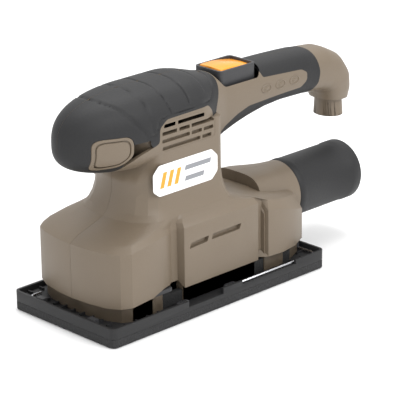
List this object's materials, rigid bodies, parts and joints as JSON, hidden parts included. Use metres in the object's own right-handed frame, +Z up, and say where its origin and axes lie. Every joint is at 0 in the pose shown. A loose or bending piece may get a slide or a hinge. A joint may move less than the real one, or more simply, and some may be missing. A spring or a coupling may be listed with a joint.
{
  "type": "orbital sander",
  "caption": "Third-sheet orbital sander with palm grip, rear handle with rocker switch, rectangular pad with wire paper clamps and a dust port sleeve.",
  "frame": {"origin": "centre of the sanding pad's underside", "axes": "+Z up, +X from the palm grip at the front to the dust port and handle tail at the back, -Y the machine's left side"},
  "size_m": [0.252, 0.093, 0.1444],
  "materials": {
    "housing_shell": "fine matt texture",
    "overmould": "soft matt rubber",
    "badge": "printed film, satin",
    "dark_plastic": "matt",
    "switch_case": "matt",
    "amber_cap": "translucent amber, glossy",
    "steel_screw": "zinc plated",
    "seal_foam": "open foam",
    "laminated_iron": "stacked laminations",
    "copper_wire": "enamelled wire",
    "brass": "pressed sheet",
    "copper_bar": "turned segments",
    "carbon": "pressed carbon",
    "spring_steel": "drawn wire",
    "bearing_steel": "ground",
    "black_rubber": "moulded",
    "fan_plastic": "glass-filled nylon",
    "zinc_cast": "die cast",
    "platen_plastic": "matt, glass-filled",
    "pad_foam": "closed-cell foam",
    "clamp_wire": "bright zinc wire",
    "adapter_plastic": "matt, fine grain",
    "capacitor_case": "potted case"
  },
  "bodies": {
    "housing": {"housing_left": "housing_shell", "housing_right": "housing_shell", "front_grip_left": "overmould", "front_grip_right": "overmould", "rear_grip_left": "overmould", "rear_grip_right": "overmould", "grip_inlay_left": "housing_shell", "grip_inlay_right": "housing_shell", "badge_left": "badge", "badge_right": "badge", "switch_bezel": "dark_plastic", "switch_body": "switch_case", "housing_screws": "steel_screw", "base_cover": "dark_plastic", "dust_seal": "seal_foam", "field_core": "laminated_iron", "field_coils": "copper_wire", "brush_holders": "brass", "carbon_brushes": "carbon", "brush_springs": "spring_steel", "upper_bearing": "bearing_steel", "bearing_ring": "black_rubber", "lower_bearing": "bearing_steel", "post_front_left": "black_rubber", "post_front_right": "black_rubber", "post_rear_left": "black_rubber", "post_rear_right": "black_rubber", "post_screws_upper": "steel_screw", "cord_bush": "black_rubber", "cord_clamp": "dark_plastic", "capacitor": "capacitor_case"},
    "rocker": {"switch_rocker": "amber_cap"},
    "rotor": {"armature_shaft": "bearing_steel", "armature_core": "laminated_iron", "armature_windings": "copper_wire", "commutator": "copper_bar", "fan": "fan_plastic", "eccentric": "zinc_cast", "eccentric_screw": "steel_screw"},
    "platen": {"platen": "platen_plastic", "sanding_pad": "pad_foam", "platen_bearing": "bearing_steel", "post_screws_lower": "steel_screw", "clamp_clips": "dark_plastic"},
    "front_clamp": {"front_clamp_wire": "clamp_wire", "front_lever_tab": "dark_plastic"},
    "rear_clamp": {"rear_clamp_wire": "clamp_wire", "rear_lever_tab": "dark_plastic"},
    "adapter": {"dust_adapter": "adapter_plastic"}
  },
  "joints": [
    {"name": "motor_spin", "type": "hinge", "parent": "housing", "child": "rotor", "pos_m": [-0.014, 0, 0.06], "axis": [0, 0, 1], "continuous": true},
    {"name": "platen_orbit", "type": "hinge", "parent": "rotor", "child": "platen", "pos_m": [-0.013, 0, 0.01], "axis": [0, 0, 1], "continuous": true},
    {"name": "switch_rock", "type": "hinge", "parent": "housing", "child": "rocker", "pos_m": [0.049, 0, 0.1315], "axis": [0, 1, 0], "range_deg": [-10, 0]},
    {"name": "front_clamp_lift", "type": "hinge", "parent": "platen", "child": "front_clamp", "pos_m": [-0.09, 0, 0.0101], "axis": [0, -1, 0], "range_deg": [0, 40]},
    {"name": "rear_clamp_lift", "type": "hinge", "parent": "platen", "child": "rear_clamp", "pos_m": [0.088, 0, 0.0101], "axis": [0, 1, 0], "range_deg": [0, 40]},
    {"name": "adapter_pull", "type": "slide", "parent": "housing", "child": "adapter", "axis": [1, 0, 0], "range_m": [0, 0.03]}
  ],
  "couplings": [
    {"joint": "platen_orbit", "follows": "motor_spin", "ratio": -1}
  ]
}
